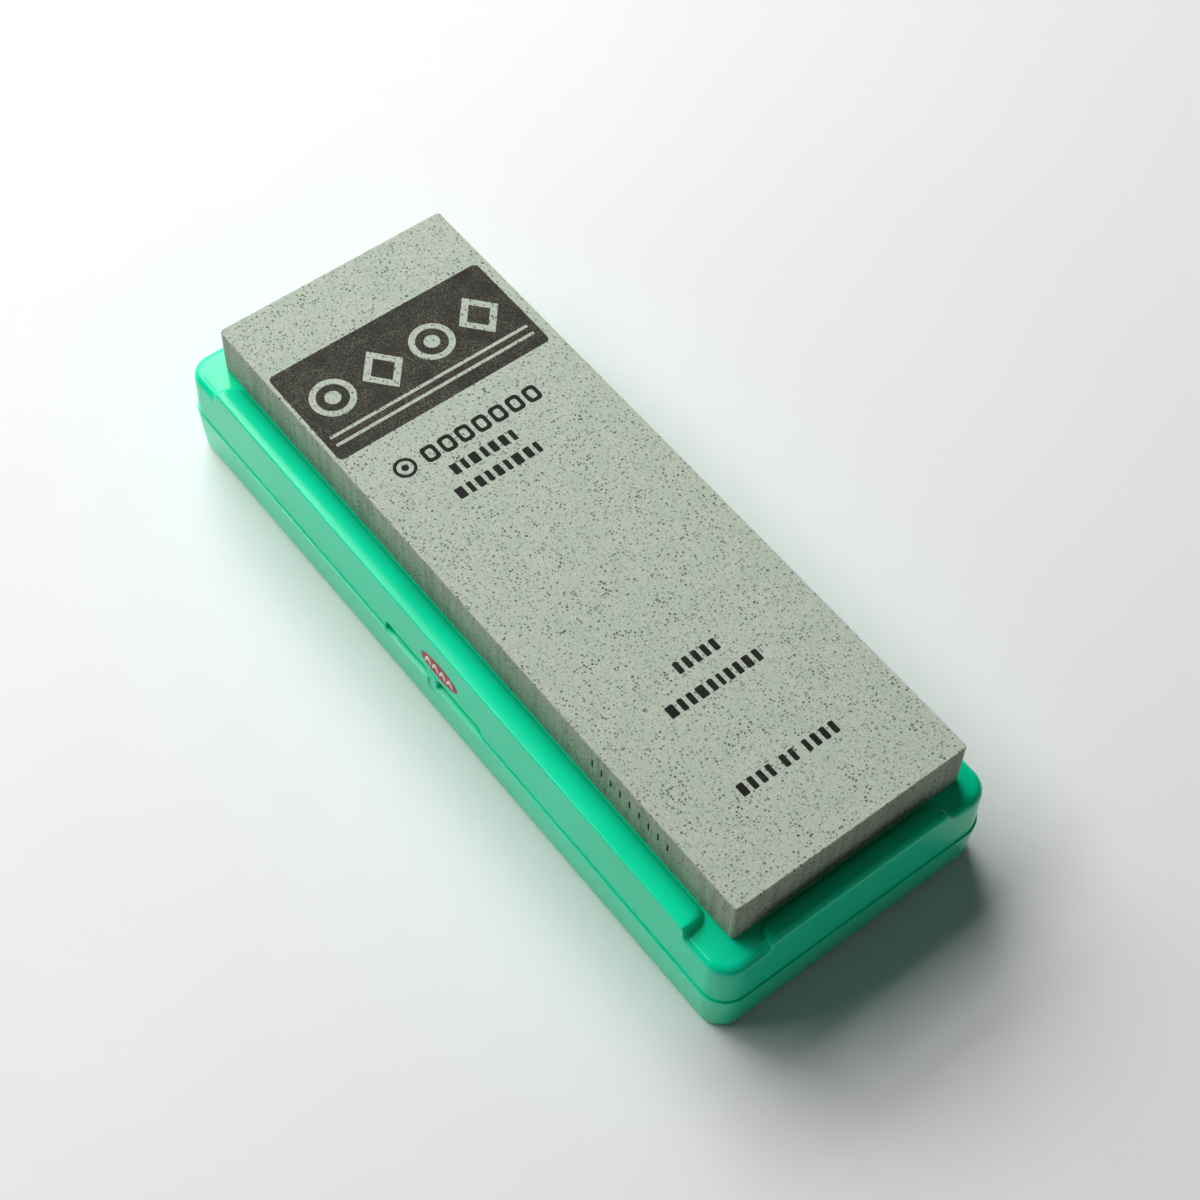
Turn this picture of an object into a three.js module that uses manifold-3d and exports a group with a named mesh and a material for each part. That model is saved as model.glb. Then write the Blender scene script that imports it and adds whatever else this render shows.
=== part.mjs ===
// Bench whetstone on its hinged storage case. Millimetres, +Z up.
// The origin is the middle of the case's underside. +X runs along the stone, -Y is the side with
// the catch and the label, and +Y is the hinge side. The case is shown shut, with the stone lying
// in the seat on top of the lid, where it is used.

import * as THREE from 'three';
import { mergeVertices } from 'three/addons/utils/BufferGeometryUtils.js';
import Module from 'manifold-3d';

const wasm = await Module();
wasm.setup();

// Driving dimensions

const GAP = 0.3;                // clearance between pieces that touch
const OVERRUN = 1;              // how far a cutter passes the face it opens

const STONE_LENGTH = 210;
const STONE_WIDTH = 70;
const STONE_THICKNESS = 15;
const STONE_EDGE = 0.5;         // broken edge round both faces
const STONE_CORNER = 1;         // radius of the upright edges
const STONE_SHIFT_X = 0.3;      // where the loose stone lies in its seat
const STONE_SHIFT_Y = 1.4;

const PARTING_Z = 14.8;         // height at which the two shells meet
const SEAT_Z = 29.4;            // flat on which the stone lies
const RAIL_HEIGHT = 3;
const CASE_LENGTH = 225.2;      // over the lid, at the parting line
const CASE_WIDTH = 84;
const CORNER_RADIUS = 7;
const LID_DRAFT = 0.3;          // how far each lid wall leans in from parting line to seat
const BASE_PROUD = 0.2;         // how far the base stands out past the lid at the parting line
const BASE_DRAFT = 0.7;
const TOP_ROUND = 2.5;
const BOTTOM_ROUND = 1.5;
const LID_WALL = 1.6;
const BASE_WALL = 2.4;
const LID_ROOF = 2.2;
const BASE_FLOOR = 2;

const SEAT_LENGTH = 212.8;      // between the end rails
const SEAT_FRONT = 35.6;        // from the case's middle to the front rail, which is the wider one
const SEAT_REAR = 36.8;
const SIDE_RAIL_LENGTH = 195;
const END_RAIL_LENGTH = 54;
const RAIL_ROUND = 1.4;
const RAIL_END_RADIUS = 2.4;

const RIM_THICKNESS = 1;        // locating rim that stands up from the base into the lid
const RIM_HEIGHT = 3.8;
const RIM_ROOT = 3;

const RIB_THICKNESS = 1.6;
const BASE_RIB_HEIGHT = 2.5;    // cross ribs that the stored stone lies on
const LID_RIB_HEIGHT = 4.5;
const RIB_PITCH = 36;
const RIB_PAIRS = 3;
const RIB_LENGTH = 66;
const GUIDE_DEPTH = 3.8;        // upright ribs that keep the stored stone central
const GUIDE_HEIGHT = 9;
const END_GUIDE_Y = 18;

const NOTCH_INNER = 1.9;        // finger notches either side of the catch
const NOTCH_OUTER = 20.3;
const NOTCH_HEIGHT = 3.2;
const SCOOP_HEIGHT = 4.8;
const SCOOP_DEPTH = 1.8;
const SCOOP_STEPS = 6;
const SCOOP_BACKING = 2.2;
const CATCH_WIDTH = 3.2;
const CATCH_THICKNESS = 0.9;
const CATCH_DROP = 3.6;

const HINGE_CLEARANCE = 0.7;    // between the knuckles and the rear wall
const KNUCKLE_GAP = 0.4;        // between one knuckle and the next
const KNUCKLE_RADIUS = 2.8;
const PIN_RADIUS = 1.2;
const PIN_LENGTH = 26;
const HINGE_SPACING = 124;
const LID_KNUCKLE_LENGTH = 12;
const BASE_KNUCKLE_LENGTH = 7;
const KNUCKLE_WEB = 2.4;
const STOP_LENGTH = 5.2;        // tail of each lid knuckle, which ends the lid's travel
const STOP_THICKNESS = 3;

const LABEL_WIDTH = 15;
const LABEL_HEIGHT = 5.6;
const LABEL_THICKNESS = 0.3;
const LABEL_X = 2.9;
const LABEL_Z = 22.7;

// Sizes worked out from the driving dimensions

const LID_Z = PARTING_Z + GAP / 2;
const BASE_TOP_Z = PARTING_Z - GAP / 2;
const HALF_X = CASE_LENGTH / 2;
const HALF_Y = CASE_WIDTH / 2;
const LID_CAVITY_X = HALF_X - LID_WALL;
const LID_CAVITY_Y = HALF_Y - LID_WALL;
const RIM_X = LID_CAVITY_X - GAP;
const RIM_Y = LID_CAVITY_Y - GAP;
const BASE_X = HALF_X + BASE_PROUD;
const BASE_Y = HALF_Y + BASE_PROUD;
const BASE_CAVITY_X = BASE_X - BASE_WALL;
const BASE_CAVITY_Y = BASE_Y - BASE_WALL;
const HINGE_Y = BASE_Y + HINGE_CLEARANCE + KNUCKLE_RADIUS;
const RAIL_OUTER_X = HALF_X - LID_DRAFT;
const RAIL_OUTER_Y = HALF_Y - LID_DRAFT;

// Solids

function toSolid(geometry) {
  const bare = geometry.clone();
  bare.deleteAttribute('normal');
  bare.deleteAttribute('uv');
  const merged = mergeVertices(bare, 1e-4);
  return new wasm.Manifold(new wasm.Mesh({
    numProp: 3,
    vertProperties: new Float32Array(merged.attributes.position.array),
    triVerts: new Uint32Array(merged.index.array),
  }));
}

function toGeometry(solid) {
  const mesh = solid.getMesh();
  const geometry = new THREE.BufferGeometry();
  geometry.setAttribute('position', new THREE.BufferAttribute(mesh.vertProperties, mesh.numProp));
  geometry.setIndex(new THREE.BufferAttribute(mesh.triVerts, 1));
  geometry.computeVertexNormals();
  return geometry;
}

function joined(solids) {
  return solids.reduce((sum, solid) => sum.add(solid));
}

function box([x0, x1], [y0, y1], [z0, z1]) {
  const geometry = new THREE.BoxGeometry(x1 - x0, y1 - y0, z1 - z0);
  geometry.translate((x0 + x1) / 2, (y0 + y1) / 2, (z0 + z1) / 2);
  return toSolid(geometry);
}

function roundedRectangle(halfX, halfY, radius) {
  const shape = new THREE.Shape();
  shape.absarc(halfX - radius, halfY - radius, radius, 0, Math.PI / 2);
  shape.absarc(radius - halfX, halfY - radius, radius, Math.PI / 2, Math.PI);
  shape.absarc(radius - halfX, radius - halfY, radius, Math.PI, Math.PI * 1.5);
  shape.absarc(halfX - radius, radius - halfY, radius, Math.PI * 1.5, Math.PI * 2);
  shape.closePath();
  return shape;
}

// An upright block with a rounded-rectangle plan. round is the radius of its top and bottom edges.
function slab({ halfX, halfY, radius, z0, z1, round = 0, roundSteps = 3 }) {
  const geometry = new THREE.ExtrudeGeometry(roundedRectangle(halfX, halfY, radius), {
    depth: z1 - z0 - 2 * round,
    curveSegments: 6,
    bevelEnabled: round > 0,
    bevelSize: round,
    bevelThickness: round,
    bevelOffset: -round,
    bevelSegments: roundSteps,
  });
  geometry.translate(0, 0, z0 + round);
  return geometry;
}

// Leans the walls in, by lean at height zLean and by nothing at height zFull.
function draft(geometry, halfX, halfY, zFull, zLean, lean) {
  const position = geometry.attributes.position;
  for (let i = 0; i < position.count; i += 1) {
    const inset = lean * (position.getZ(i) - zFull) / (zLean - zFull);
    position.setX(i, position.getX(i) * (1 - inset / halfX));
    position.setY(i, position.getY(i) * (1 - inset / halfY));
  }
  return geometry;
}

// A rod along X, from a cylinder turned on its side.
function rod(radius, length, x, y, z, segments = 24) {
  const geometry = new THREE.CylinderGeometry(radius, radius, length, segments);
  geometry.rotateZ(Math.PI / 2);
  geometry.translate(x, y, z);
  return toSolid(geometry);
}

function mirroredInX(solid) {
  return solid.add(solid.mirror([1, 0, 0]));
}

function mirroredInY(solid) {
  return solid.add(solid.mirror([0, 1, 0]));
}

// Ribs inside the shells

function crossRibs(z0, z1) {
  const ribs = [];
  for (let i = 0; i < RIB_PAIRS; i += 1) {
    const x = RIB_PITCH * (i + 0.5);
    const rib = box(
      [x - RIB_THICKNESS / 2, x + RIB_THICKNESS / 2],
      [-RIB_LENGTH / 2, RIB_LENGTH / 2],
      [z0, z1],
    );
    ribs.push(mirroredInX(rib));
  }
  return joined(ribs);
}

function guideRibs() {
  const top = BASE_FLOOR + GUIDE_HEIGHT;
  const floor = BASE_FLOOR - GAP;
  const guides = [];
  for (let i = 0; i < RIB_PAIRS; i += 1) {
    const x = RIB_PITCH * (i + 0.5);
    const sideGuide = box(
      [x - RIB_THICKNESS / 2, x + RIB_THICKNESS / 2],
      [BASE_CAVITY_Y - GUIDE_DEPTH, BASE_CAVITY_Y + GAP],
      [floor, top],
    );
    guides.push(mirroredInX(mirroredInY(sideGuide)));
  }
  const endGuide = box(
    [BASE_CAVITY_X - GUIDE_DEPTH, BASE_CAVITY_X + GAP],
    [END_GUIDE_Y - RIB_THICKNESS / 2, END_GUIDE_Y + RIB_THICKNESS / 2],
    [floor, top],
  );
  guides.push(mirroredInX(mirroredInY(endGuide)));
  return joined(guides);
}

// Rails round the seat

function rail([x0, x1], [y0, y1]) {
  const geometry = slab({
    halfX: (x1 - x0) / 2,
    halfY: (y1 - y0) / 2,
    radius: RAIL_END_RADIUS,
    z0: SEAT_Z - TOP_ROUND - RAIL_ROUND,
    z1: SEAT_Z + RAIL_HEIGHT,
    round: RAIL_ROUND,
    roundSteps: 2,
  });
  geometry.translate((x0 + x1) / 2, (y0 + y1) / 2, 0);
  return toSolid(geometry);
}

function seatRails() {
  const alongSide = [-SIDE_RAIL_LENGTH / 2, SIDE_RAIL_LENGTH / 2];
  const alongEnd = [-END_RAIL_LENGTH / 2, END_RAIL_LENGTH / 2];
  return joined([
    rail(alongSide, [-RAIL_OUTER_Y, -SEAT_FRONT]),
    rail(alongSide, [SEAT_REAR, RAIL_OUTER_Y]),
    mirroredInX(rail([SEAT_LENGTH / 2, RAIL_OUTER_X], alongEnd)),
  ]);
}

// Hinge

function knuckle(length, x) {
  return rod(KNUCKLE_RADIUS, length, x, HINGE_Y, PARTING_Z);
}

function pinBore(x) {
  return rod(PIN_RADIUS + GAP, PIN_LENGTH + 4 * OVERRUN, x, HINGE_Y, PARTING_Z, 16);
}

function lidHinge(x) {
  const reach = [x - LID_KNUCKLE_LENGTH / 2, x + LID_KNUCKLE_LENGTH / 2];
  const web = box(reach, [HALF_Y - LID_WALL / 2, HINGE_Y], [LID_Z, LID_Z + KNUCKLE_WEB]);
  const stop = box(
    reach,
    [HINGE_Y, HINGE_Y + STOP_LENGTH],
    [PARTING_Z - STOP_THICKNESS / 2, PARTING_Z + STOP_THICKNESS / 2],
  );
  return joined([knuckle(LID_KNUCKLE_LENGTH, x), web, stop]).subtract(pinBore(x));
}

function baseHinge(x) {
  const offset = (LID_KNUCKLE_LENGTH + BASE_KNUCKLE_LENGTH) / 2 + KNUCKLE_GAP;
  const knuckles = [-offset, offset].map((shift) => {
    const reach = [x + shift - BASE_KNUCKLE_LENGTH / 2, x + shift + BASE_KNUCKLE_LENGTH / 2];
    const web = box(reach, [BASE_Y - BASE_WALL / 2, HINGE_Y], [BASE_TOP_Z - KNUCKLE_WEB, BASE_TOP_Z]);
    return knuckle(BASE_KNUCKLE_LENGTH, x + shift).add(web);
  });
  return joined(knuckles).subtract(pinBore(x));
}

// Pieces

function caseLid() {
  const outside = toSolid(draft(slab({
    halfX: HALF_X,
    halfY: HALF_Y,
    radius: CORNER_RADIUS,
    z0: LID_Z - 2 * TOP_ROUND,
    z1: SEAT_Z,
    round: TOP_ROUND,
  }), HALF_X, HALF_Y, LID_Z, SEAT_Z, LID_DRAFT));
  const below = box(
    [-HALF_X - OVERRUN, HALF_X + OVERRUN],
    [-HALF_Y - OVERRUN, HALF_Y + OVERRUN],
    [LID_Z - 2 * TOP_ROUND - OVERRUN, LID_Z],
  );
  const cavity = toSolid(slab({
    halfX: LID_CAVITY_X,
    halfY: LID_CAVITY_Y,
    radius: CORNER_RADIUS - LID_WALL,
    z0: LID_Z - OVERRUN,
    z1: SEAT_Z - LID_ROOF,
  }));
  const notch = box(
    [NOTCH_INNER, NOTCH_OUTER],
    [-HALF_Y - OVERRUN, -LID_CAVITY_Y + OVERRUN],
    [LID_Z - OVERRUN, LID_Z + NOTCH_HEIGHT],
  );
  const tab = box(
    [-CATCH_WIDTH / 2, CATCH_WIDTH / 2],
    [-HALF_Y - GAP, -HALF_Y - GAP + CATCH_THICKNESS],
    [PARTING_Z - CATCH_DROP, PARTING_Z + NOTCH_HEIGHT],
  );
  const roofRibs = crossRibs(SEAT_Z - LID_ROOF - LID_RIB_HEIGHT, SEAT_Z - LID_ROOF + GAP);
  return outside
    .subtract(below)
    .add(seatRails())
    .subtract(cavity)
    .add(roofRibs)
    .subtract(mirroredInX(notch))
    .add(tab)
    .add(mirroredInX(lidHinge(HINGE_SPACING / 2)));
}

function caseBase() {
  const outside = toSolid(draft(slab({
    halfX: BASE_X,
    halfY: BASE_Y,
    radius: CORNER_RADIUS + BASE_PROUD,
    z0: 0,
    z1: BASE_TOP_Z + 2 * BOTTOM_ROUND,
    round: BOTTOM_ROUND,
  }), BASE_X, BASE_Y, BASE_TOP_Z, 0, BASE_DRAFT));
  const above = box(
    [-BASE_X - OVERRUN, BASE_X + OVERRUN],
    [-BASE_Y - OVERRUN, BASE_Y + OVERRUN],
    [BASE_TOP_Z, BASE_TOP_Z + 2 * BOTTOM_ROUND + OVERRUN],
  );
  const cavity = toSolid(slab({
    halfX: BASE_CAVITY_X,
    halfY: BASE_CAVITY_Y,
    radius: CORNER_RADIUS + BASE_PROUD - BASE_WALL,
    z0: BASE_FLOOR,
    z1: BASE_TOP_Z + OVERRUN,
  }));
  const rim = toSolid(slab({
    halfX: RIM_X,
    halfY: RIM_Y,
    radius: CORNER_RADIUS - LID_WALL - GAP,
    z0: BASE_TOP_Z - RIM_ROOT,
    z1: PARTING_Z + RIM_HEIGHT,
  })).subtract(toSolid(slab({
    halfX: RIM_X - RIM_THICKNESS,
    halfY: RIM_Y - RIM_THICKNESS,
    radius: CORNER_RADIUS - LID_WALL - GAP - RIM_THICKNESS,
    z0: BASE_TOP_Z - RIM_ROOT - OVERRUN,
    z1: PARTING_Z + RIM_HEIGHT + OVERRUN,
  })));
  const backing = box(
    [-NOTCH_OUTER - SCOOP_BACKING, NOTCH_OUTER + SCOOP_BACKING],
    [-BASE_CAVITY_Y - BASE_WALL / 2, -BASE_CAVITY_Y + SCOOP_BACKING],
    [BASE_FLOOR - GAP, BASE_TOP_Z],
  );
  return outside
    .subtract(above)
    .subtract(cavity)
    .add(rim)
    .add(crossRibs(BASE_FLOOR - GAP, BASE_FLOOR + BASE_RIB_HEIGHT))
    .add(guideRibs())
    .add(backing)
    .subtract(fingerScoop())
    .add(mirroredInX(baseHinge(HINGE_SPACING / 2)));
}

// A cove cut into the front wall of the base: a ledge at its foot that curves up to the parting line.
function fingerScoop() {
  const face = -BASE_Y;
  const bottom = BASE_TOP_Z - SCOOP_HEIGHT;
  const section = new THREE.Shape();
  section.moveTo(face - OVERRUN, bottom);
  for (let i = 0; i <= SCOOP_STEPS; i += 1) {
    const turn = (Math.PI / 2) * (i / SCOOP_STEPS);
    section.lineTo(face + SCOOP_DEPTH * Math.sin(turn), bottom + SCOOP_HEIGHT * (1 - Math.cos(turn)));
  }
  section.lineTo(face - OVERRUN, BASE_TOP_Z);
  const geometry = new THREE.ExtrudeGeometry(section, { depth: 2 * NOTCH_OUTER, bevelEnabled: false });
  geometry.rotateX(Math.PI / 2);
  geometry.rotateZ(Math.PI / 2);
  geometry.translate(-NOTCH_OUTER, 0, 0);
  return toSolid(geometry);
}

function whetstone() {
  return slab({
    halfX: STONE_LENGTH / 2,
    halfY: STONE_WIDTH / 2,
    radius: STONE_CORNER,
    z0: SEAT_Z + GAP,
    z1: SEAT_Z + GAP + STONE_THICKNESS,
    round: STONE_EDGE,
    roundSteps: 1,
  }).translate(STONE_SHIFT_X, STONE_SHIFT_Y, 0);
}

function hingePin(x) {
  return rod(PIN_RADIUS, PIN_LENGTH, x, HINGE_Y, PARTING_Z, 16);
}

function openLabel() {
  const outline = new THREE.Shape();
  outline.absellipse(0, 0, LABEL_WIDTH / 2, LABEL_HEIGHT / 2, 0, Math.PI * 2);
  const geometry = new THREE.ExtrudeGeometry(outline, {
    depth: LABEL_THICKNESS,
    curveSegments: 32,
    bevelEnabled: false,
  });
  geometry.rotateX(Math.PI / 2);
  geometry.translate(LABEL_X, -HALF_Y - GAP / 2, LABEL_Z);
  return geometry;
}

// Scene graph

function mesh(name, geometry, color, roughness, metalness = 0) {
  const material = new THREE.MeshStandardMaterial({ color, roughness, metalness });
  const part = new THREE.Mesh(geometry, material);
  part.name = name;
  return part;
}

const CASE_GREEN = 0x1fb583;
const LABEL_RED = 0xbe4b55;
const STONE_GREY_GREEN = 0xb2bba6;
const STEEL = 0xb9bcc0;

const base = new THREE.Group();
base.add(mesh('case_base', toGeometry(caseBase()), CASE_GREEN, 0.4));
base.add(mesh('hinge_pin_left', toGeometry(hingePin(-HINGE_SPACING / 2)), STEEL, 0.3, 1));
base.add(mesh('hinge_pin_right', toGeometry(hingePin(HINGE_SPACING / 2)), STEEL, 0.3, 1));

const lid = new THREE.Group();
lid.add(mesh('case_lid', toGeometry(caseLid()), CASE_GREEN, 0.4));
lid.add(mesh('open_label', openLabel(), LABEL_RED, 0.5));

const stone = new THREE.Group();
stone.add(mesh('whetstone', whetstone(), STONE_GREY_GREEN, 0.9));

const whetstoneOnCase = new THREE.Group();
whetstoneOnCase.add(base, lid, stone);

export default whetstoneOnCase;
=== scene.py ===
import math

import bmesh
import bpy
from mathutils import Matrix, Vector, noise


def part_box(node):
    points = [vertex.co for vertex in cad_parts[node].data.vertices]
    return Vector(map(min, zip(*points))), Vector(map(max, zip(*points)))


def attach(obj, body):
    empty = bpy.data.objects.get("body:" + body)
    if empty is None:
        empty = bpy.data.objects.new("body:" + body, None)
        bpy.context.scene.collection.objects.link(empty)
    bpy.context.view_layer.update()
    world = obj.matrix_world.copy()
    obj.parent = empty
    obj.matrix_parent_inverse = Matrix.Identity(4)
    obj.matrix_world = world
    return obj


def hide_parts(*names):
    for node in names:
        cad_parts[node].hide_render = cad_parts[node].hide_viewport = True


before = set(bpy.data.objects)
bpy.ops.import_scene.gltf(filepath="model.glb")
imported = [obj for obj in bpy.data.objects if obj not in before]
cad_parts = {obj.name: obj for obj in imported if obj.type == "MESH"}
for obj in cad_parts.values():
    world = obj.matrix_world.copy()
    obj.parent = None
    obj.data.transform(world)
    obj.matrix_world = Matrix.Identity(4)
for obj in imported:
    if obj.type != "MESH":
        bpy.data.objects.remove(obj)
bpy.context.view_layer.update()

# A bench whetstone lying on its shut storage case. Shapes are drawn in millimetres in the row
# frame and scaled to metres as each piece is made. +X runs along the stone, -Y is the side with
# the catch, +Y is the hinge side.

MM = 0.001


def box_mm(node):
    """The low and high corners of a CAD node, in millimetres."""
    low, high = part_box(node)
    return low / MM, high / MM


STONE_LOW, STONE_HIGH = box_mm("whetstone")
LID_HIGH = box_mm("case_lid")[1]
BASE_HIGH = box_mm("case_base")[1]
LABEL_LOW, LABEL_HIGH = box_mm("open_label")
PIN_LOW, PIN_HIGH = box_mm("hinge_pin_right")

# Case. GAP is what the CAD keeps between pieces that touch, SHELL_GAP is the hairline between the
# two halves, and CUT_MARGIN is how far a cutting shape reaches past what it cuts.

GAP = 0.3
CUT_MARGIN = 1
HALF_X = LID_HIGH.x
HALF_Y = -LABEL_HIGH.y - GAP / 2
LID_TOP = STONE_LOW.z - GAP
PARTING = (PIN_LOW.z + PIN_HIGH.z) / 2
SHELL_GAP = 0.05
LID_FOOT = PARTING + SHELL_GAP / 2
BASE_TOP = PARTING - SHELL_GAP / 2
CORNER_RADIUS = 7
LID_DRAFT = 0.3
LID_WALL = 1.6
LID_ROOF = 2.2
LID_EDGE_ROUND = 0.06
BASE_PROUD = BASE_HIGH.x - HALF_X
BASE_DRAFT = 0.7
BASE_WALL = 2.4
BASE_FLOOR = 2
LEDGE_PROUD = 0.25
LEDGE_INSET = BASE_PROUD + 0.05
LEDGE_FALL = math.tan(math.radians(25))
BOTTOM_ROUND = 1.5
BOTTOM_BORDER = 5.6
BOTTOM_RECESS = 0.4
TOP_ROUND = 2.3
INSIDE_ROUND = 0.8
MOULD_EDGE = 0.15

RAIL_HEIGHT = LID_HIGH.z - LID_TOP
RAIL_TOP_ROUND = {"front": 0.6, "rear": 1.6, "left": 1.6, "right": 2}
RAIL_CREST_SLOPE = math.tan(math.radians(4))
RAIL_CREST_HANDLE = 0.35
RAIL_FOOT_SLOPE = math.tan(math.radians(54))
RAIL_FOOT_HANDLE = 0.3
RAIL_END_ROUND = 1
RAIL_END_OFFSET = 0.1
RAIL_END_FOOT = {"front": 1.2, "rear": 1.2, "left": 2.6, "right": 2.6}
RAIL_NOSE = 3
RAIL_TO_STONE = 0.2
RAIL_WIDTH = {
    "front": HALF_Y + STONE_LOW.y - RAIL_TO_STONE,
    "rear": HALF_Y - STONE_HIGH.y - RAIL_TO_STONE,
    "left": HALF_X + STONE_LOW.x - RAIL_TO_STONE,
    "right": HALF_X - STONE_HIGH.x - RAIL_TO_STONE,
}
CORNER_WIDTH = 3.6
RAIL_HALF_LENGTH = {"front": 97.5, "rear": 97.5, "left": 27, "right": 27}
SEAT_INSET = 8.4
CORNER_INSET = 6.8

RIM_THICKNESS = 1
RIM_HEIGHT = 3.8
RIM_DEPTH = 3
RIM_BEVEL = 0.3
RIM_FOOT_RISE = 0.7
RIM_TOP = PARTING + RIM_HEIGHT
RIM_FOOT = BASE_TOP - RIM_DEPTH

RIB_THICKNESS = 1.6
RIB_PLACES = (-90, -54, -18, 18, 54, 90)
RIB_HALF_LENGTH = 33
LID_RIB_HEIGHT = 4.5
BASE_RIB_HEIGHT = 2.5
GUIDE_DEPTH = 3.8
GUIDE_HEIGHT = 9
END_GUIDE_PLACES = (-18, 18)

NOTCH_INNER = 1.9
NOTCH_OUTER = 20.3
NOTCH_HEIGHT = 3.2
NOTCH_ROUND = 1.2
SCOOP_DEPTH = 1
SCOOP_END = {"inner": 1.2, "outer": 3}
SCOOP_OVERLAP = 0.02
SCOOP_ABOVE = 0.1
BACKING = 2.2
BACKING_DROP = 0.4
CATCH_HALF_WIDTH = 1.5
CATCH_MARGIN = 0.08
CATCH_THICKNESS = 0.8
CATCH_PROUD = 0.14
CATCH_DROP = 3.6
CATCH_END_SHARE = 0.6

HINGE_Y = (PIN_LOW.y + PIN_HIGH.y) / 2
HINGE_X = (PIN_LOW.x + PIN_HIGH.x) / 2
HINGE_AXIS = (HINGE_Y, PARTING)
PIN_RADIUS = (PIN_HIGH.z - PIN_LOW.z) / 2
KNUCKLE_RADIUS = 2.8
LID_KNUCKLE = 12
BASE_KNUCKLE = 7
KNUCKLE_GAP = 0.4
KNUCKLE_WEB = 2.4
STOP_REACH = LID_HIGH.y - HINGE_Y
STOP_THICKNESS = 3
STOP_ROUND = 0.8
BORE_SIDES = 24

# How finely curves are drawn

CORNER_STEPS = 12
ARC_STEPS = 5
EDGE_STEPS = 3
SLOPE_STEPS = 12
STOP_STEPS = 4
KNUCKLE_STEPS = 30
LID_KNUCKLE_STEPS = (14, 18)


# Mesh helpers


def to_object(name, mesh_data):
    """Puts a mesh in the scene as an object at the origin."""
    piece = bpy.data.objects.new(name, mesh_data)
    bpy.context.scene.collection.objects.link(piece)
    return piece


def from_bmesh(name, bm):
    bmesh.ops.recalc_face_normals(bm, faces=bm.faces)
    mesh = bpy.data.meshes.new(name)
    bm.to_mesh(mesh)
    bm.free()
    return to_object(name, mesh)


def baked(piece):
    """Applies the modifiers of a piece to its mesh."""
    graph = bpy.context.evaluated_depsgraph_get()
    mesh = bpy.data.meshes.new_from_object(piece.evaluated_get(graph), depsgraph=graph)
    piece.modifiers.clear()
    piece.data = mesh
    return piece


def combine(piece, tools, operation):
    """Joins tools to a piece, or cuts them out of it, and removes them."""
    for tool in tools:
        modifier = piece.modifiers.new("combine", "BOOLEAN")
        modifier.operation = operation
        modifier.solver = "EXACT"
        modifier.object = tool
    baked(piece)
    for tool in tools:
        bpy.data.objects.remove(tool)
    return piece


def rounded_edges(piece, width, angle=30, segments=2):
    modifier = piece.modifiers.new("edges", "BEVEL")
    modifier.width = width
    modifier.segments = segments
    modifier.limit_method = "ANGLE"
    modifier.angle_limit = math.radians(angle)
    modifier.miter_outer = "MITER_ARC"
    modifier.use_clamp_overlap = True
    return baked(piece)


def finished(piece, sharp_angle=40):
    """Scales a piece from millimetres to metres and shades it smooth with true flats."""
    piece.data.transform(Matrix.Scale(MM, 4))
    piece.data.shade_smooth()
    piece.data.set_sharp_from_angle(angle=math.radians(sharp_angle))
    modifier = piece.modifiers.new("flats", "WEIGHTED_NORMAL")
    modifier.keep_sharp = True
    modifier.weight = 100
    return piece


def block(x, y, z):
    """A box between the given limits, each a pair of low and high."""
    bm = bmesh.new()
    bmesh.ops.create_cube(bm, size=1)
    size = Matrix.Diagonal((x[1] - x[0], y[1] - y[0], z[1] - z[0], 1))
    middle = Vector(((x[0] + x[1]) / 2, (y[0] + y[1]) / 2, (z[0] + z[1]) / 2))
    bm.transform(Matrix.Translation(middle) @ size)
    return from_bmesh("block", bm)


def lofted(name, loops):
    """A closed solid through loops of points that follow each other, capped at both ends."""
    bm = bmesh.new()
    rings = [[bm.verts.new(point) for point in loop] for loop in loops]
    for ring, following in zip(rings, rings[1:]):
        for i in range(len(ring)):
            j = (i + 1) % len(ring)
            bm.faces.new((ring[i], ring[j], following[j], following[i]))
    bm.faces.new(rings[0])
    bm.faces.new(rings[-1])
    return from_bmesh(name, bm)


def prism(section, x):
    """A section of (y, z) points drawn out along X, between a pair of low and high."""
    return lofted("prism", [[(at, y, z) for y, z in section] for at in x])


def prism_through(section, y):
    """A section of (x, z) points drawn out along Y."""
    solid = prism([(-x, z) for x, z in section], y)
    solid.data.transform(Matrix.Rotation(math.pi / 2, 4, "Z"))
    return solid


def arc(centre, radius, start, end, steps):
    """Points on an arc, its angles in degrees."""
    points = []
    for i in range(steps + 1):
        angle = math.radians(start + (end - start) * i / steps)
        across, up = radius * math.cos(angle), radius * math.sin(angle)
        points.append((centre[0] + across, centre[1] + up))
    return points


def disc(x, y, radius, sides=40):
    return arc((x, y), radius, 0, 360 - 360 / sides, sides - 1)


# Sweeps round a rounded rectangle


class Station:
    """A place on the outline: its side, how far along the side, and where an inset point lies."""

    def __init__(self, side, along, anchor, outward, radius):
        self.side = side
        self.along = along
        self.anchor = anchor
        self.outward = outward
        self.radius = radius

    def point(self, inset, height):
        flat = self.anchor + self.outward * (self.radius - inset)
        return Vector((flat.x, flat.y, height))


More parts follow.
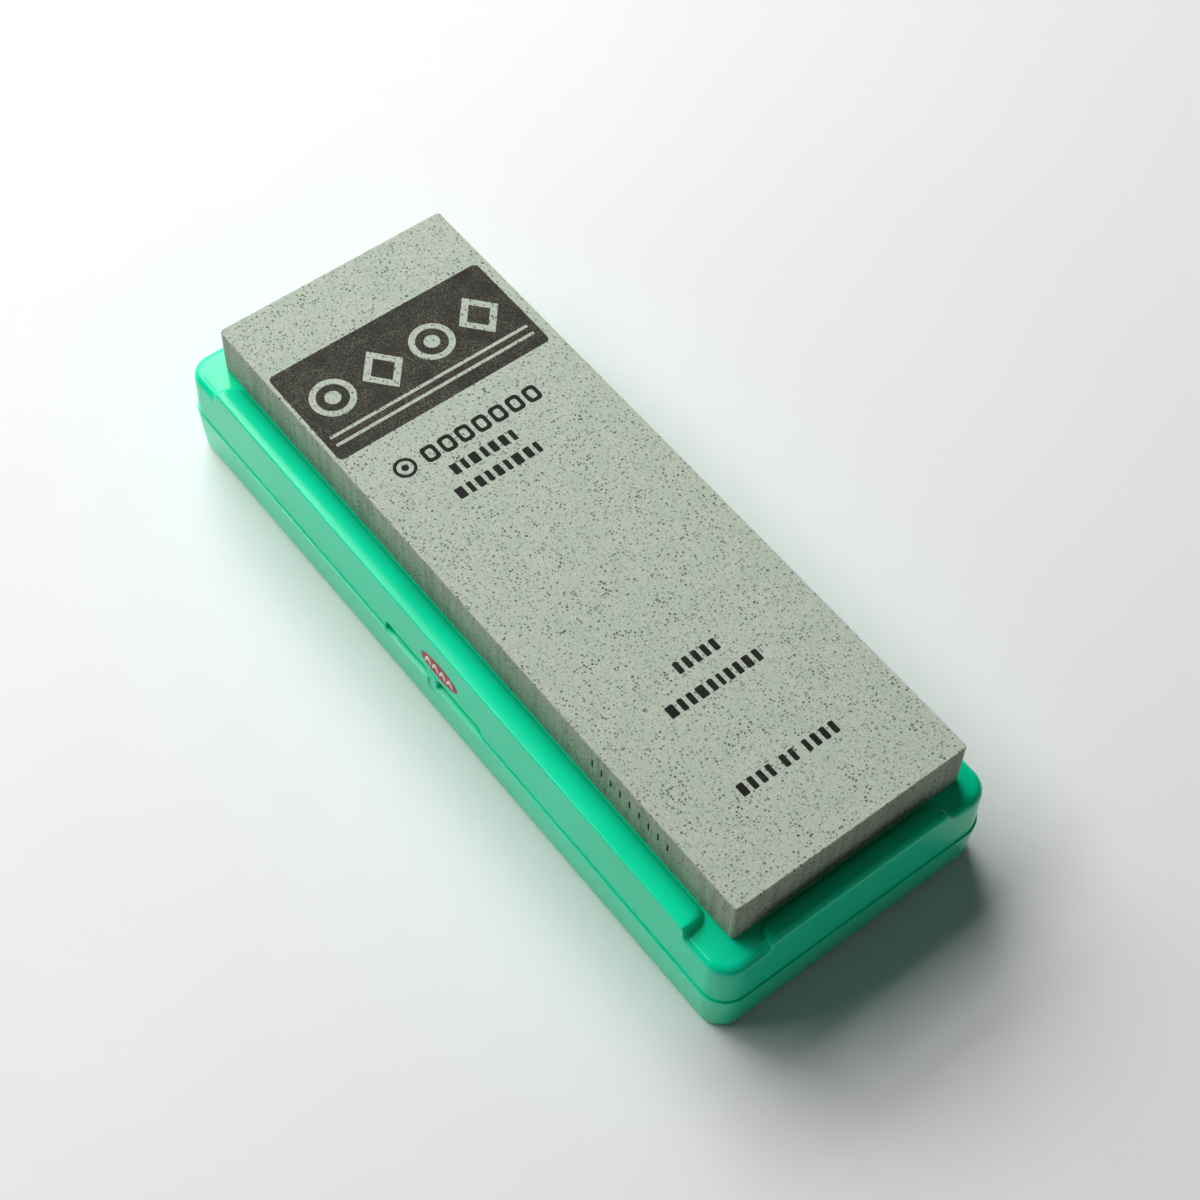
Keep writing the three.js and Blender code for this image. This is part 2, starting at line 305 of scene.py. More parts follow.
def outline(half_x, half_y, radius, marks=None, pitch=12):
    """Stations round the outline, anticlockwise from the +X side."""
    sides = (
        ("right", Vector((1, 0)), half_x - radius, half_y - radius),
        ("rear", Vector((0, 1)), half_y - radius, half_x - radius),
        ("left", Vector((-1, 0)), half_x - radius, half_y - radius),
        ("front", Vector((0, -1)), half_y - radius, half_x - radius),
    )
    stations = []
    for side, outward, depth, reach in sides:
        along = Vector((-outward.y, outward.x))
        count = max(2, round(2 * reach / pitch))
        places = {round(-reach + 2 * reach * i / count, 4) for i in range(count + 1)}
        places |= set((marks or {}).get(side, ()))
        for place in sorted(places):
            stations.append(Station(side, place, outward * depth + along * place, outward, radius))
        corner = outward * depth + along * reach
        for i in range(1, CORNER_STEPS):
            turn = math.pi / 2 * i / CORNER_STEPS
            heading = outward * math.cos(turn) + along * math.sin(turn)
            stations.append(Station("corner", 0, corner, heading, radius))
    return stations


def swept(name, stations, profile):
    """A closed solid: profile(station) gives (inset, height) points, and both ends are capped."""
    bm = bmesh.new()
    columns = []
    for station in stations:
        columns.append([bm.verts.new(station.point(*p)) for p in profile(station)])
    for i, column in enumerate(columns):
        following = columns[(i + 1) % len(columns)]
        for j in range(len(column) - 1):
            bm.faces.new((column[j], following[j], following[j + 1], column[j + 1]))
    bm.faces.new([column[0] for column in columns])
    bm.faces.new([column[-1] for column in columns])
    return from_bmesh(name, bm)


# Lid


def rail_marks():
    """Extra stations at the rail ends, where the rail's height and width change."""
    top = [
        RAIL_END_OFFSET + RAIL_END_ROUND * (1 - math.cos(math.radians(a)))
        for a in range(0, 91, 18)
    ]
    nose = [RAIL_NOSE * (1 - math.cos(math.radians(a))) for a in range(20, 91, 10)]
    foot = [1 - math.sin(math.radians(a)) for a in range(0, 91, 15)]
    marks = {}
    for side, half in RAIL_HALF_LENGTH.items():
        offsets = top + nose + [-RAIL_END_FOOT[side] * share for share in foot]
        marks[side] = {round(sign * (half - d), 4) for d in offsets for sign in (-1, 1)}
    return marks


def rail_share(station):
    """Height of the rail at a station, from 0 in the corners to 1 along a side."""
    if station.side == "corner":
        return 0
    inside = RAIL_HALF_LENGTH[station.side] - abs(station.along)
    foot = RAIL_END_FOOT[station.side]
    if inside <= -foot:
        return 0
    if inside < RAIL_END_OFFSET / 2:
        rise = foot - math.sqrt(max(0, foot ** 2 - (inside + foot) ** 2))
        return min(1, rise / RAIL_HEIGHT)
    drop = RAIL_END_ROUND - min(RAIL_END_ROUND, max(0, inside - RAIL_END_OFFSET))
    fall = RAIL_END_ROUND - math.sqrt(RAIL_END_ROUND ** 2 - drop ** 2)
    return (RAIL_HEIGHT - fall) / RAIL_HEIGHT


def rail_width(station):
    """Width of the rail, narrowing round its nose."""
    if station.side == "corner":
        return CORNER_WIDTH
    inside = RAIL_HALF_LENGTH[station.side] - abs(station.along)
    reach = RAIL_NOSE - min(RAIL_NOSE, max(0, inside))
    width = RAIL_WIDTH[station.side] - (RAIL_NOSE - math.sqrt(RAIL_NOSE ** 2 - reach ** 2))
    return max(width, CORNER_WIDTH)


def lid_lean(height):
    return LID_DRAFT * min(1, (height - LID_FOOT) / (LID_TOP - LID_FOOT))


def rail_slope(crest, foot):
    """The rail's inner face, from its foot up to its crest, each an inset and a height."""
    low = RAIL_FOOT_HANDLE * (foot - crest)
    high = RAIL_CREST_HANDLE * (foot - crest)
    corners = (
        (foot, 0),
        (foot - low, low * RAIL_FOOT_SLOPE),
        (crest + high, RAIL_HEIGHT - high * RAIL_CREST_SLOPE),
        (crest, RAIL_HEIGHT),
    )
    points = []
    for i in range(SLOPE_STEPS + 1):
        t = i / SLOPE_STEPS
        shares = ((1 - t) ** 3, 3 * t * (1 - t) ** 2, 3 * t ** 2 * (1 - t), t ** 3)
        points.append(tuple(sum(a * b for a, b in zip(shares, parts)) for parts in zip(*corners)))
    return points


def lid_profile(station):
    """The lid's section from the seat over the rail, down the outside and up the inside."""
    share = rail_share(station)
    top = LID_TOP + RAIL_HEIGHT * share
    outer = TOP_ROUND + (RAIL_TOP_ROUND.get(station.side, TOP_ROUND) - TOP_ROUND) * share
    lean = lid_lean(top - outer)
    points = [(SEAT_INSET if share else CORNER_INSET, LID_TOP)]
    for inset, height in rail_slope(lean + outer, rail_width(station))[:-1]:
        points.append((inset, LID_TOP + height * share))
    points += arc((lean + outer, top - outer), outer, 90, 180, ARC_STEPS + 1)
    edge = (LID_EDGE_ROUND, LID_FOOT + LID_EDGE_ROUND)
    points += arc(edge, LID_EDGE_ROUND, 180, 270, EDGE_STEPS)
    points.append((LID_WALL, LID_FOOT))
    inside = (LID_WALL + INSIDE_ROUND, LID_TOP - LID_ROOF - INSIDE_ROUND)
    points += arc(inside, INSIDE_ROUND, 180, 90, EDGE_STEPS)
    return points


def hinge_section(sign, tail):
    """The (y, z) outline of a knuckle, its web into the wall, and for the lid its stop tail."""
    web_edge = PARTING + sign * GAP / 2
    web_top = PARTING + sign * (GAP / 2 + KNUCKLE_WEB)
    wall = HALF_Y - LID_WALL / 2
    near = 180 - abs(math.degrees(math.asin((web_top - PARTING) / KNUCKLE_RADIUS)))
    low = math.degrees(math.asin(GAP / 2 / KNUCKLE_RADIUS))
    web = [(wall, web_edge), (wall, web_top)]
    if tail:
        return web + tailed_arc(near, -180 - low)
    start, end = sign * near, -sign * (180 + low)
    return web + arc(HINGE_AXIS, KNUCKLE_RADIUS, start, end, KNUCKLE_STEPS)


def tailed_arc(start, end):
    """The lid knuckle's round, broken behind the pin by its stop tail."""
    above, below = LID_KNUCKLE_STEPS
    half = math.degrees(math.asin(STOP_THICKNESS / 2 / KNUCKLE_RADIUS))
    tip = HINGE_Y + STOP_REACH - STOP_ROUND
    rise = STOP_THICKNESS / 2 - STOP_ROUND
    return (
        arc(HINGE_AXIS, KNUCKLE_RADIUS, start, half, above)
        + arc((tip, PARTING + rise), STOP_ROUND, 90, 0, STOP_STEPS)
        + arc((tip, PARTING - rise), STOP_ROUND, 0, -90, STOP_STEPS)
        + arc(HINGE_AXIS, KNUCKLE_RADIUS, -half, end, below)
    )


def knuckle(x, sign, tail):
    """A bored knuckle between two places in x. The sign is 1 on the lid and -1 on the base."""
    solid = prism(hinge_section(sign, tail), x)
    circle = disc(*HINGE_AXIS, PIN_RADIUS + GAP, BORE_SIDES)
    bore = prism(circle, (x[0] - CUT_MARGIN, x[1] + CUT_MARGIN))
    return combine(solid, [bore], "DIFFERENCE")


def cross_ribs(low, high):
    half = RIB_THICKNESS / 2
    return [
        block((x - half, x + half), (-RIB_HALF_LENGTH, RIB_HALF_LENGTH), (low, high))
        for x in RIB_PLACES
    ]


def case_lid():
    stations = outline(HALF_X, HALF_Y, CORNER_RADIUS, rail_marks())
    lid = swept("case_lid_shell", stations, lid_profile)
    ceiling = LID_TOP - LID_ROOF
    half = LID_KNUCKLE / 2
    added = cross_ribs(ceiling - LID_RIB_HEIGHT, ceiling + GAP)
    added += [knuckle((x - half, x + half), 1, True) for x in (-HINGE_X, HINGE_X)]
    combine(lid, added, "UNION")
    combine(lid, [notch(sign) for sign in (-1, 1)], "DIFFERENCE")
    combine(lid, [catch_tab()], "UNION")
    rounded_edges(lid, MOULD_EDGE)
    return finished(lid)


def notch(sign):
    """A round-cornered finger notch in the lid's front wall, beside the catch."""
    foot = LID_FOOT - CUT_MARGIN
    top = LID_FOOT + NOTCH_HEIGHT - NOTCH_ROUND
    near, far = NOTCH_INNER + NOTCH_ROUND, NOTCH_OUTER - NOTCH_ROUND
    section = [(NOTCH_OUTER, foot)]
    section += arc((far, top), NOTCH_ROUND, 0, 90, ARC_STEPS)
    section += arc((near, top), NOTCH_ROUND, 90, 180, ARC_STEPS)
    section.append((NOTCH_INNER, foot))
    section = [(sign * x, z) for x, z in section]
    return prism_through(section, (-HALF_Y - CUT_MARGIN, -HALF_Y + LID_WALL + CUT_MARGIN))


def catch_solid(margin, y):
    """The shape of the catch's tongue, grown by a margin, between two places in y."""
    half = CATCH_HALF_WIDTH + margin
    low = PARTING - CATCH_DROP - margin
    round_end = half * CATCH_END_SHARE
    side = half - round_end
    section = arc((side, low + round_end), round_end, 270, 360, ARC_STEPS)
    section += [(half, LID_FOOT + NOTCH_HEIGHT), (-half, LID_FOOT + NOTCH_HEIGHT)]
    section += arc((-side, low + round_end), round_end, 180, 270, ARC_STEPS)
    return prism_through(section, y)


def catch_tab():
    """The springy tongue that hangs over the base's front wall between the notches."""
    face = -HALF_Y - CATCH_PROUD
    return catch_solid(0, (face, face + CATCH_THICKNESS))


# Base


def base_lean(height):
    return BASE_DRAFT * (BASE_TOP - height) / BASE_TOP


def ledge_height(inset, top_inset=LEDGE_INSET):
    """Height of a sloping ledge that meets the base's top at the given inset."""
    return BASE_TOP - (top_inset - inset) * LEDGE_FALL


def base_profile(station):
    """The base's section from under its floor, up the outside, over the rim and down the inside."""
    low = base_lean(BOTTOM_ROUND)
    points = [(low + BOTTOM_BORDER + BOTTOM_RECESS, BOTTOM_RECESS), (low + BOTTOM_BORDER, 0)]
    points += arc((low + BOTTOM_ROUND, BOTTOM_ROUND), BOTTOM_ROUND, 270, 180, ARC_STEPS)
    points += [(-LEDGE_PROUD, ledge_height(-LEDGE_PROUD)), (LEDGE_INSET, BASE_TOP)]
    outer = LID_WALL + GAP + BASE_PROUD
    inner = outer + RIM_THICKNESS
    points += [(outer, BASE_TOP), (outer, RIM_TOP - RIM_BEVEL), (outer + RIM_BEVEL, RIM_TOP)]
    points += [(inner - RIM_BEVEL, RIM_TOP), (inner, RIM_TOP - RIM_BEVEL)]
    points += [(inner, RIM_FOOT + RIM_FOOT_RISE), (BASE_WALL, RIM_FOOT)]
    inside = (BASE_WALL + INSIDE_ROUND, BASE_FLOOR + INSIDE_ROUND)
    points += arc(inside, INSIDE_ROUND, 180, 270, EDGE_STEPS)
    return points


def stone_guides(inner_x, inner_y):
    """Fins that stand in from the walls and keep the stored stone in the middle."""
    half = RIB_THICKNESS / 2
    height = (BASE_FLOOR - GAP, BASE_FLOOR + GUIDE_HEIGHT)
    guides = []
    for x in RIB_PLACES:
        for y in both_walls(inner_y):
            guides.append(block((x - half, x + half), y, height))
    for y in END_GUIDE_PLACES:
        for x in both_walls(inner_x):
            guides.append(block(x, (y - half, y + half), height))
    return guides


def both_walls(inner):
    """Where a fin starts and ends at each of two facing walls."""
    return (inner - GUIDE_DEPTH, inner + GAP), (-inner - GAP, GUIDE_DEPTH - inner)


def front_backing(inner_y):
    """A thickening inside the front wall, behind the scoops and the catch's pocket."""
    reach = NOTCH_OUTER + BACKING
    depth = (-inner_y - BASE_WALL / 2, BACKING - inner_y)
    return block((-reach, reach), depth, (BASE_FLOOR - GAP, BASE_TOP - BACKING_DROP))


def base_knuckles():
    """A knuckle at each side of the lid's, at both hinges."""
    offset = (LID_KNUCKLE + BASE_KNUCKLE) / 2 + KNUCKLE_GAP
    knuckles = []
    for x in (-HINGE_X, HINGE_X):
        for shift in (-offset, offset):
            limits = (x + shift - BASE_KNUCKLE / 2, x + shift + BASE_KNUCKLE / 2)
            knuckles.append(knuckle(limits, -1, False))
    return knuckles


def case_base():
    half_x = HALF_X + BASE_PROUD
    half_y = HALF_Y + BASE_PROUD
    inner_x = half_x - BASE_WALL
    inner_y = half_y - BASE_WALL
    stations = outline(half_x, half_y, CORNER_RADIUS + BASE_PROUD)
    base = swept("case_base_shell", stations, base_profile)
    added = cross_ribs(BASE_FLOOR - GAP, BASE_FLOOR + BASE_RIB_HEIGHT)
    added += stone_guides(inner_x, inner_y)
    added.append(front_backing(inner_y))
    added += base_knuckles()
    combine(base, added, "UNION")
    cuts = [finger_scoop(-half_y, sign) for sign in (-1, 1)]
    combine(base, cuts + [catch_pocket(-half_y)], "DIFFERENCE")
    rounded_edges(base, MOULD_EDGE)
    return finished(base)


def catch_pocket(face):
    """The pocket in the base's front wall that the catch's tongue lies in."""
    back = -HALF_Y - CATCH_PROUD + CATCH_THICKNESS + CATCH_MARGIN
    return catch_solid(CATCH_MARGIN, (face - CUT_MARGIN, back))


def scoop_share(x):
    """How far a scoop has opened at a place along it, from 0 at its ends to 1."""
    inner, outer = SCOOP_END["inner"], SCOOP_END["outer"]
    near = max(0, NOTCH_INNER + inner - abs(x)) / inner
    far = max(0, abs(x) - NOTCH_OUTER + outer) / outer
    return math.sqrt(max(0, 1 - max(near, far) ** 2))


def finger_scoop(face, sign):
    """What is cut away for the widened ledge under a notch, drawn in towards both its ends."""
    turns = [1 - math.cos(math.radians(a)) for a in range(0, 91, 15)]
    places = {NOTCH_INNER + SCOOP_END["inner"] * turn for turn in turns}
    places |= {NOTCH_OUTER - SCOOP_END["outer"] * turn for turn in turns}
    above = BASE_TOP + SCOOP_ABOVE
    outside = -CUT_MARGIN
    sections = []
    for x in sorted(sign * place for place in places):
        depth = LEDGE_INSET + SCOOP_OVERLAP + (SCOOP_DEPTH - LEDGE_INSET) * scoop_share(x)
        foot = (outside, ledge_height(outside, depth))
        corners = (foot, (depth, BASE_TOP), (depth, above), (outside, above))
        sections.append([(x, face + inset, z) for inset, z in corners])
    return lofted("scoop", sections)


# Stone. The edge shares give the points of a broken edge, as an inset and a distance from the top
# or bottom face.

STONE_PITCH = 0.8
STONE_CORNER = 1.1
STONE_EDGE = 0.32
STONE_EDGE_SHARES = ((1, 0), (0.3, 0.35), (0, 1))
CHIP_LIMIT = STONE_CORNER - 0.15
FINE_CHIPS = {"per_mm": 0.9, "depth": 0.12}
COARSE_CHIPS = {"per_mm": 0.23, "depth": 0.3, "threshold": 0.25, "shift": Vector((7, 3, 1))}
LOWER_EDGE_SHIFT = Vector((0, 0, 40))
CORNER_WEAR = 0.5
CORNER_WEAR_REACH = 5
STONE_SHARP_ANGLE = 60


def chip(point, worn):
    """How far the stone's broken edge is worn back at a point."""
    fine = noise.noise(point * FINE_CHIPS["per_mm"]) * FINE_CHIPS["depth"]
    swell = noise.noise(point * COARSE_CHIPS["per_mm"] + COARSE_CHIPS["shift"])
    coarse = max(0, swell - COARSE_CHIPS["threshold"]) * COARSE_CHIPS["depth"]
    return min(STONE_EDGE + fine + coarse + CORNER_WEAR * worn, CHIP_LIMIT)


def whetstone():
    """The stone: a plain block with broken edges, worn most at the near corner."""
    half = (STONE_HIGH - STONE_LOW) / 2
    middle = (STONE_HIGH + STONE_LOW) / 2
    near_corner = Vector((STONE_HIGH.x, STONE_LOW.y, 0))
    low, high = STONE_LOW.z, STONE_HIGH.z

    def profile(station):
        at = station.point(0, 0) + Vector((middle.x, middle.y, 0))
        worn = math.exp(-(at - near_corner).length / CORNER_WEAR_REACH)
        upper = chip(at, worn)
        lower = chip(at + LOWER_EDGE_SHIFT, worn)
        rising = [(lower * a, low + lower * b) for a, b in STONE_EDGE_SHARES]
        falling = [(upper * a, high - upper * b) for a, b in reversed(STONE_EDGE_SHARES)]
        return rising + falling

    stations = outline(half.x, half.y, STONE_CORNER, pitch=STONE_PITCH)
    stone = swept("stone_block", stations, profile)
    stone.data.transform(Matrix.Translation((middle.x, middle.y, 0)))
    return finished(stone, STONE_SHARP_ANGLE)


# Hinge pins

PIN_SIDES = 32
PIN_END_ROUND = 0.4
PIN_END_STEPS = 4


def hinge_pin(name, x):
    """A steel pin with rounded ends, turned about its own axis."""
    half = (PIN_HIGH.x - PIN_LOW.x) / 2
    corner = (half - PIN_END_ROUND, PIN_RADIUS - PIN_END_ROUND)
    end = arc(corner, PIN_END_ROUND, 0, 90, PIN_END_STEPS)
    loops = []
    for along, radius in end + [(-a, r) for a, r in reversed(end)]:
        ring = disc(0, 0, radius, PIN_SIDES)
        loops.append([(x + along, HINGE_Y + across, PARTING + up) for across, up in ring])
    return finished(lofted(name, loops))


# Prints

PRINT_HEIGHT = 0.04
PRINT_MERGE = 1e-4
PRINT_STEPS = 3

# The dark block: its middle, its half sizes, and what is left open in it, in millimetres from the
# middle of the stone's top

PANEL_PLACE = (-67.5, -1)
PANEL_HALF = (16.5, 33)
PANEL_CORNER = 1.5
EMBLEM_X = -69
EMBLEM_PLACES = (-24, -8.5, 7, 22)
RING_RADII = (6.2, 4.4, 2.2)
DIAMOND_HALVES = ((7.4, 6.4), (4.4, 3.8))
STRIPE_PLACES = (-58.5, -55.6)
STRIPE_HALF = (0.5, 31)

# The row beside the block: a ringed dot, then hollow links, each an outer and an inner bar given
# by its half sizes and corner

SEAL_PLACE = (-39.6, -22.3)
SEAL_RADII = (3.1, 2.2, 1.0)
LINK_COUNT = 7
LINK_START = -14.6
LINK_PITCH = 5.3
LINK_SHAPES = ((2.6, 2.1, 1.2), (1.5, 1.0, 0.7))

# The rows of bars: the row's x, the y it starts at, and the widths of its bars, where 0 is a space

BAR_HALF_HEIGHT = 1.75
BAR_CORNER = 0.35
BAR_GAP = 1.15
BAR_SPACE = 1.6
BAR_ROWS = (
    (-31.8, -13.4, (2, 1.4, 2.4, 1.4, 2, 2, 1.4)),
    (-25, -16.8, (2.4, 1.4, 2, 1.4, 2, 1.4, 2.4, 2, 1.4)),
    (47.5, -5.9, (1.6, 1.6, 1.6, 1.6, 1.6)),
    (56, -15, (2.4, 1.6, 1.6, 2.4, 1.6, 1.2, 1.6, 1.6, 2, 1.6)),
    (82, -15, (2, 1.6, 1.6, 1.4, 0, 1.6, 1.4, 0, 1.4, 1.6, 1.6, 1.6)),
)

# The ticks on the stone's side

TICK_COUNT = 9
TICK_START = 53
TICK_PITCH = 3.5
TICK_HEIGHT = 9
TICK_HALF = (0.3, 1.5)
TICK_CORNER = 0.2


def closed_path(curve, points):
    spline = curve.splines.new("POLY")
    spline.points.add(len(points) - 1)
    for target, (x, y) in zip(spline.points, points):
        target.co = (x, y, 0, 1)
    spline.use_cyclic_u = True


def ink(name, paths, place, thickness=PRINT_HEIGHT):
    """A thin printed film: closed paths of (x, y), the inner ones left open, put in place."""
    curve = bpy.data.curves.new(name, "CURVE")
    curve.dimensions = "2D"
    curve.fill_mode = "BOTH"
    curve.extrude = thickness / 2
    for path in paths:
        closed_path(curve, path)
    drawn = bpy.data.objects.new(name + "_path", curve)
    bpy.context.scene.collection.objects.link(drawn)
    graph = bpy.context.evaluated_depsgraph_get()
    mesh = bpy.data.meshes.new_from_object(drawn.evaluated_get(graph), depsgraph=graph)
    bpy.data.objects.remove(drawn)
    mesh.transform(place)
    bm = bmesh.new()
    bm.from_mesh(mesh)
    bmesh.ops.remove_doubles(bm, verts=bm.verts, dist=PRINT_MERGE)
    piece = from_bmesh(name, bm)
    piece.data.transform(Matrix.Scale(MM, 4))
    return piece


def diamond(x, y, half_x, half_y):
    return [(x - half_x, y), (x, y - half_y), (x + half_x, y), (x, y + half_y)]


def bar(x, y, half_x, half_y, corner=0.3):
    """A bar with rounded corners."""
    cx, cy = half_x - corner, half_y - corner
    return (
        arc((x + cx, y + cy), corner, 0, 90, PRINT_STEPS)
        + arc((x - cx, y + cy), corner, 90, 180, PRINT_STEPS)
        + arc((x - cx, y - cy), corner, 180, 270, PRINT_STEPS)
        + arc((x + cx, y - cy), corner, 270, 360, PRINT_STEPS)
    )


def bar_row(x, start, widths):
    """A row of bars along Y."""
    bars = []
    y = start
    for width in widths:
        if width:
            bars.append(bar(x, y + width / 2, BAR_HALF_HEIGHT, width / 2, BAR_CORNER))
            y += width + BAR_GAP
        else:
            y += BAR_SPACE
    return bars


def panel_paths():
    """The dark block, with rings, diamonds and two stripes left open in it."""
    paths = [bar(*PANEL_PLACE, *PANEL_HALF, PANEL_CORNER)]
    for i, y in enumerate(EMBLEM_PLACES):
        if i % 2 == 0:
            paths += [disc(EMBLEM_X, y, radius) for radius in RING_RADII]
        else:
            paths += [diamond(EMBLEM_X, y, *half) for half in DIAMOND_HALVES]
    paths += [bar(x, PANEL_PLACE[1], *STRIPE_HALF) for x in STRIPE_PLACES]
    return paths


def line_paths():
    """The ringed dot, the links and the rows of bars."""
    paths = [disc(*SEAL_PLACE, radius) for radius in SEAL_RADII]
    for i in range(LINK_COUNT):
        y = LINK_START + i * LINK_PITCH
        paths += [bar(SEAL_PLACE[0], y, *shape) for shape in LINK_SHAPES]
    for row in BAR_ROWS:
        paths += bar_row(*row)
    return paths


def tick_paths():
    places = [TICK_START + i * TICK_PITCH for i in range(TICK_COUNT)]
    return [bar(x, TICK_HEIGHT, *TICK_HALF, TICK_CORNER) for x in places]


def stone_prints():
    """Plain marks that take the places of the prints on the stone's top and side."""
    middle = (STONE_HIGH + STONE_LOW) / 2
    top = Matrix.Translation((middle.x, middle.y, STONE_HIGH.z + PRINT_HEIGHT / 4))
    side = Matrix.Translation((middle.x, STONE_LOW.y, STONE_LOW.z))
    side @= Matrix.Rotation(math.pi / 2, 4, "X")
    return (
        ink("stone_print_panel", panel_paths(), top),
        ink("stone_print_lines", line_paths(), top),
        ink("stone_side_ticks", tick_paths(), side),
    )


LABEL_FILM = 0.12
LABEL_SIDES = 64
LABEL_STAND_OFF = 0.01
ARROW_PLACES = (-4.5, -1.5, 1.5, 4.5)
ARROW_HALF = 1.2
ARROW_FOOT = -1.5
ARROW_RISE = 1.7
ARROW_WEIGHT = 1.6


def lifting_arrow(x):
    """A chevron that points up."""
    shoulder = ARROW_FOOT + ARROW_WEIGHT
    return [
        (x - ARROW_HALF, ARROW_FOOT),
        (x, ARROW_FOOT + ARROW_RISE),
        (x + ARROW_HALF, ARROW_FOOT),
        (x + ARROW_HALF, shoulder),
        (x, shoulder + ARROW_RISE),
        (x - ARROW_HALF, shoulder),
    ]


def open_label():
    """The oval label, with plain lifting arrows where its word was."""
    middle = (LABEL_LOW + LABEL_HIGH) / 2
    half = (LABEL_HIGH - LABEL_LOW) / 2
    wall = -HALF_Y + lid_lean(middle.z)
    lean = math.atan(LID_DRAFT / (LID_TOP - LID_FOOT))
    upright = Matrix.Rotation(math.pi / 2 - lean, 4, "X")

    def on_wall(stand_off):
        return Matrix.Translation((middle.x, wall - stand_off, middle.z)) @ upright

    angles = [2 * math.pi * i / LABEL_SIDES for i in range(LABEL_SIDES)]
    oval = [(half.x * math.cos(angle), half.z * math.sin(angle)) for angle in angles]
    label = ink("label_oval", [oval], on_wall(LABEL_FILM / 2 + LABEL_STAND_OFF), LABEL_FILM)
    marks = [lifting_arrow(x) for x in ARROW_PLACES]
    arrows = ink("label_arrows", marks, on_wall(LABEL_FILM + 2 * LABEL_STAND_OFF))
    return label, arrows


# Materials


class Nodes:
    """A short way to write a material's nodes."""

    def __init__(self, name):
        self.material = bpy.data.materials.new(name)
        self.material.use_nodes = True
        self.tree = self.material.node_tree
        self.shader = self.tree.nodes["Principled BSDF"]
        self.place = self.add("ShaderNodeTexCoord").outputs["Object"]

    def add(self, kind, **values):
        node = self.tree.nodes.new(kind)
        for key, value in values.items():
            setattr(node, key, value)
        return node

    def link(self, source, target):
        self.tree.links.new(source, target)

    def noise(self, scale, detail=3, roughness=0.5, place=None, output="Fac"):
        node = self.add("ShaderNodeTexNoise")
        node.inputs["Scale"].default_value = scale
        node.inputs["Detail"].default_value = detail
        node.inputs["Roughness"].default_value = roughness
        self.link(place or self.place, node.inputs["Vector"])
        return node.outputs[output]

    def cells(self, scale, place):
        node = self.add("ShaderNodeTexVoronoi")
        node.inputs["Scale"].default_value = scale
        self.link(place, node.inputs["Vector"])
        return node

    def offset(self, push, amount):
        """The place moved by up to half the amount, in metres, by a colour's three parts."""
        centred = self.add("ShaderNodeVectorMath", operation="SUBTRACT")
        self.link(push, centred.inputs[0])
        centred.inputs[1].default_value = (0.5, 0.5, 0.5)
        moved = self.add("ShaderNodeVectorMath", operation="MULTIPLY_ADD")
        self.link(centred.outputs["Vector"], moved.inputs[0])
        moved.inputs[1].default_value = (amount, amount, amount)
        self.link(self.place, moved.inputs[2])
        return moved.outputs["Vector"]

    def split(self, vector, axis):
        node = self.add("ShaderNodeSeparateXYZ")
        self.link(vector, node.inputs[0])
        return node.outputs[axis]

    def normal_of_face(self):
        return self.add("ShaderNodeTexCoord").outputs["Normal"]

    def stretched(self, x, y, z):
        node = self.add("ShaderNodeMapping")
        node.inputs["Scale"].default_value = (x, y, z)
        self.link(self.place, node.inputs["Vector"])
        return node.outputs["Vector"]

    def remap(self, value, low, high, to_low=0.0, to_high=1.0):
        node = self.add("ShaderNodeMapRange")
        self.link(value, node.inputs["Value"])
        node.inputs["From Min"].default_value = low
        node.inputs["From Max"].default_value = high
        node.inputs["To Min"].default_value = to_low
        node.inputs["To Max"].default_value = to_high
        return node.outputs["Result"]

    def math(self, operation, a, b):
        node = self.add("ShaderNodeMath", operation=operation)
        for socket, value in zip(node.inputs, (a, b)):
            if isinstance(value, (int, float)):
                socket.default_value = value
            else:
                self.link(value, socket)
        return node.outputs["Value"]

    def mix(self, share, a, b):
        node = self.add("ShaderNodeMix", data_type="RGBA")
        if isinstance(share, (int, float)):
            node.inputs["Factor"].default_value = share
        else:
            self.link(share, node.inputs["Factor"])
        for key, value in (("A", a), ("B", b)):
            socket = [s for s in node.inputs if s.name == key and s.type == "RGBA"][0]
            if isinstance(value, tuple):
                socket.default_value = (*value, 1)
            else:
                self.link(value, socket)
        return [s for s in node.outputs if s.type == "RGBA"][0]

    def tint(self, share, first, second):
        """A mix of two sRGB colours."""
        return self.mix(share, linear(*first), linear(*second))

    def layer(self, under, share, strength, colour):
        """An sRGB colour laid over another by a share of the given strength."""
        return self.mix(self.math("MULTIPLY", share, strength), under, linear(*colour))

    def bump(self, height, distance, strength=1.0, after=None):
        node = self.add("ShaderNodeBump")
        node.inputs["Distance"].default_value = distance
        node.inputs["Strength"].default_value = strength
        self.link(height, node.inputs["Height"])
        if after:
            self.link(after, node.inputs["Normal"])
        return node.outputs["Normal"]

    def colour(self, value):
        self.link(value, self.shader.inputs["Base Color"])

    def roughness(self, value):
        self.link(value, self.shader.inputs["Roughness"])

    def normal(self, value):
        self.link(value, self.shader.inputs["Normal"])

    def set(self, **values):
        for key, value in values.items():
            self.shader.inputs[key.replace("_", " ")].default_value = value


# Colours are sRGB, from 0 to 255. An ink's cover is the least and the most of the worn colour that
# shows through it.

